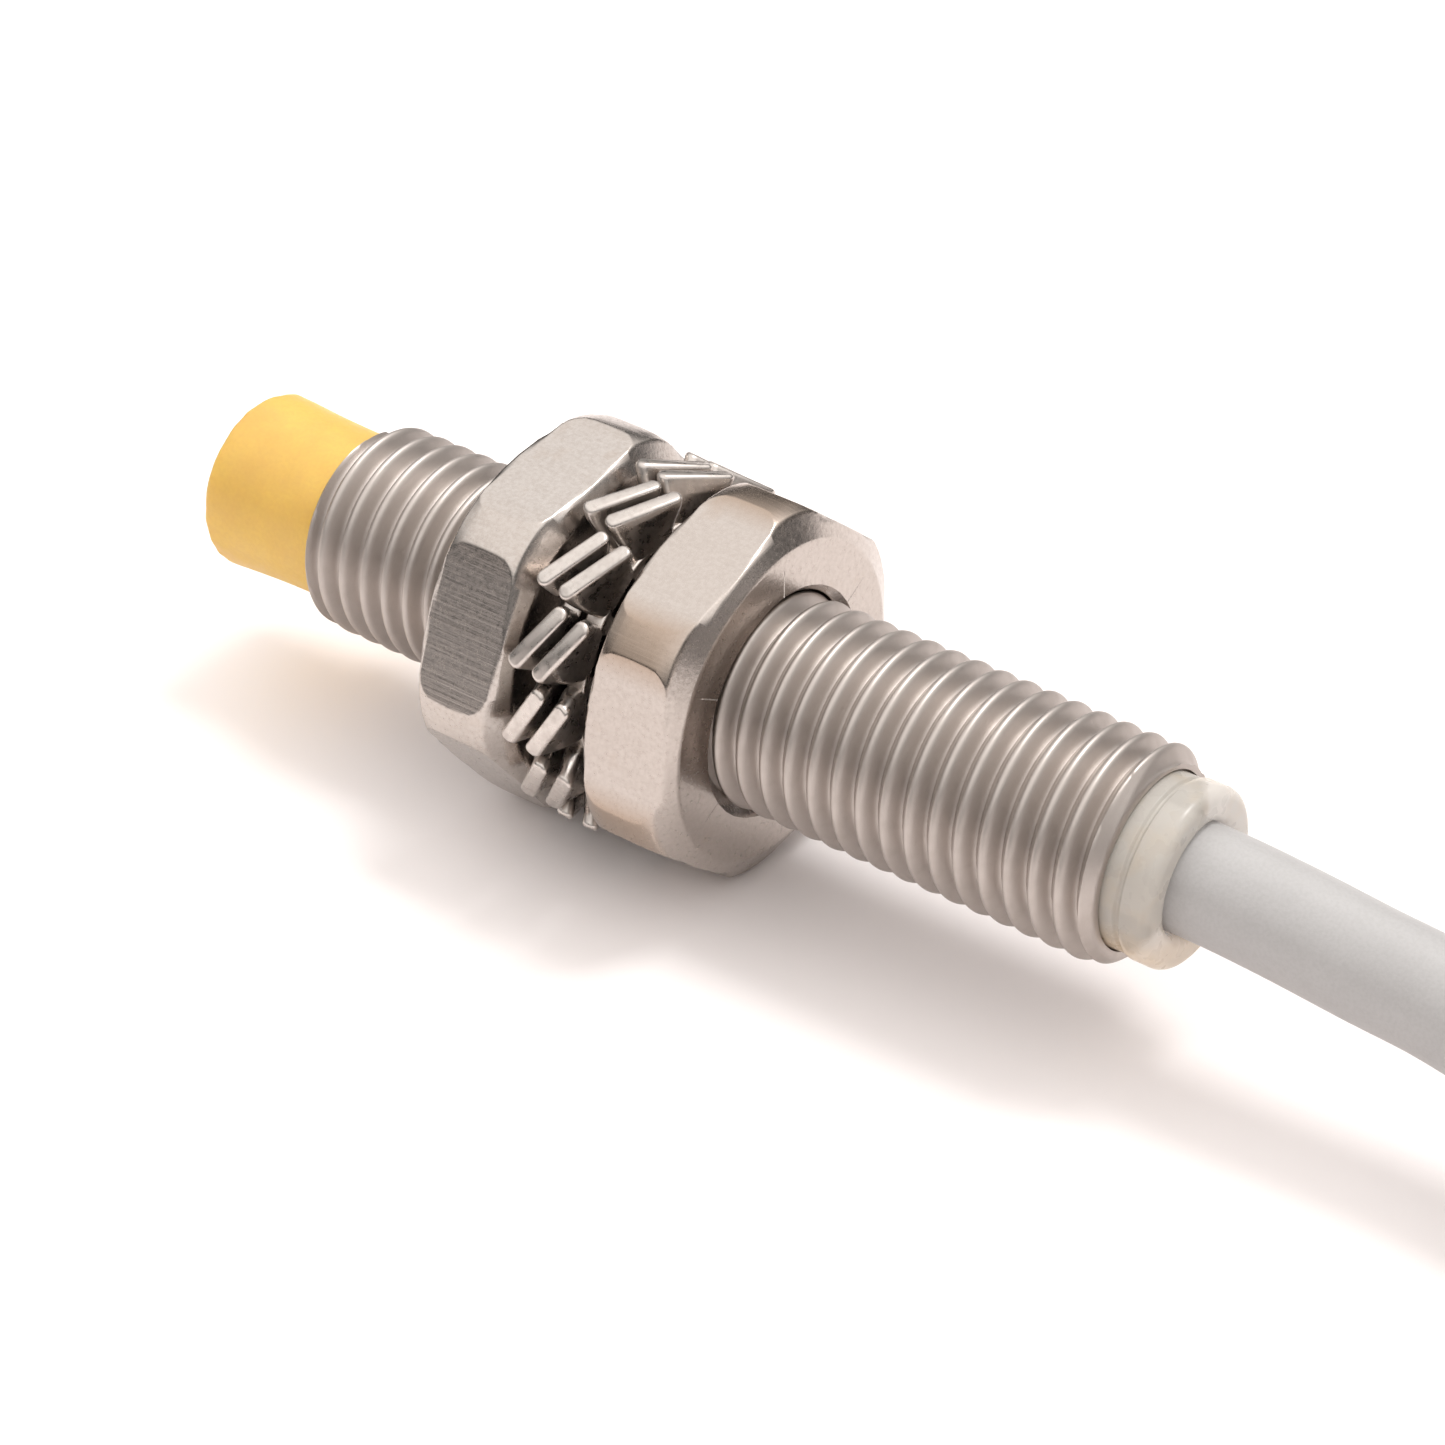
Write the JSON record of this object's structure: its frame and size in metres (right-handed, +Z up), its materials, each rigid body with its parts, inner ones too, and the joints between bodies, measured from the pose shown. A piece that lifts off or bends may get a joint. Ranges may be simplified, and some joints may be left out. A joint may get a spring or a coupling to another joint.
{
  "type": "inductive proximity sensor",
  "caption": "Cylindrical M8 x 1 inductive proximity sensor with yellow sensing cap, hex nuts, toothed lock washers and a coiled cable.",
  "frame": {"origin": "on the table under the middle of the sensor's length, without its cable", "axes": "+X along the sensor's axis from the sensing face towards the cable, +Z up, the sensor lying on its nuts"},
  "size_m": [0.1457, 0.0417, 0.0245],
  "materials": {
    "barrel_metal": "turned, nickel-bright thread with satin flanks",
    "nut_metal": "satin nickel plate, brushed flats",
    "washer_metal": "bright stamped spring steel",
    "cap_plastic": "satin moulded yellow-orange plastic",
    "end_cap_plastic": "milky translucent moulded plastic",
    "cable_jacket": "satin light grey PVC",
    "ferrite": "matt sintered ferrite",
    "bobbin_plastic": "natural moulded plastic",
    "copper_wire": "enamelled copper",
    "board": "green solder mask on glass epoxy",
    "chip": "black moulded epoxy",
    "resistor": "black glazed film",
    "capacitor": "tan fired body",
    "led": "clear epoxy lens",
    "potting_resin": "black casting resin",
    "core_brown": "brown PVC",
    "core_blue": "blue PVC",
    "core_black": "black PVC",
    "tinned_copper": "tinned strands",
    "tie_nylon": "natural nylon"
  },
  "bodies": {
    "sensor": {"barrel": "barrel_metal", "sensing_cap": "cap_plastic", "ferrite_core": "ferrite", "coil_bobbin": "bobbin_plastic", "coil_winding": "copper_wire", "coil_lead_start": "copper_wire", "coil_lead_finish": "copper_wire", "circuit_board": "board", "tuning_capacitor": "capacitor", "sensitivity_resistor": "resistor", "oscillator_chip": "chip", "timing_capacitor": "capacitor", "feedback_resistor": "resistor", "voltage_regulator": "chip", "supply_capacitor": "capacitor", "output_transistor": "chip", "protection_diode": "chip", "led_resistor": "resistor", "status_led": "led", "potting_resin": "potting_resin", "end_cap": "end_cap_plastic", "core_brown": "core_brown", "core_blue": "core_blue", "core_black": "core_black", "cable": "cable_jacket", "cable_hank": "cable_jacket", "cable_tail": "cable_jacket", "hank_tie": "tie_nylon", "lead_brown": "core_brown", "lead_blue": "core_blue", "lead_black": "core_black", "tinned_end_brown": "tinned_copper", "tinned_end_blue": "tinned_copper", "tinned_end_black": "tinned_copper"},
    "front_nut": {"front_nut": "nut_metal"},
    "rear_nut": {"rear_nut": "nut_metal"},
    "front_washer": {"front_lock_washer": "washer_metal"},
    "rear_washer": {"rear_lock_washer": "washer_metal"}
  },
  "joints": [
    {"name": "front_washer_slide", "type": "slide", "parent": "sensor", "child": "front_washer", "axis": [1, 0, 0], "range_m": [-0.007, 0]},
    {"name": "front_nut_turn", "type": "hinge", "parent": "front_washer", "child": "front_nut", "pos_m": [-0.00516, 0, 0.00713], "axis": [1, 0, 0], "range_deg": [-2520, 0]},
    {"name": "rear_washer_slide", "type": "slide", "parent": "sensor", "child": "rear_washer", "axis": [1, 0, 0], "range_m": [0, 0.014]},
    {"name": "rear_nut_turn", "type": "hinge", "parent": "rear_washer", "child": "rear_nut", "pos_m": [0.00214, 0, 0.00713], "axis": [1, 0, 0], "range_deg": [0, 5040]}
  ],
  "couplings": [
    {"joint": "front_washer_slide", "follows": "front_nut_turn", "m_per_rad": 0.00015915},
    {"joint": "rear_washer_slide", "follows": "rear_nut_turn", "m_per_rad": 0.00015915}
  ]
}
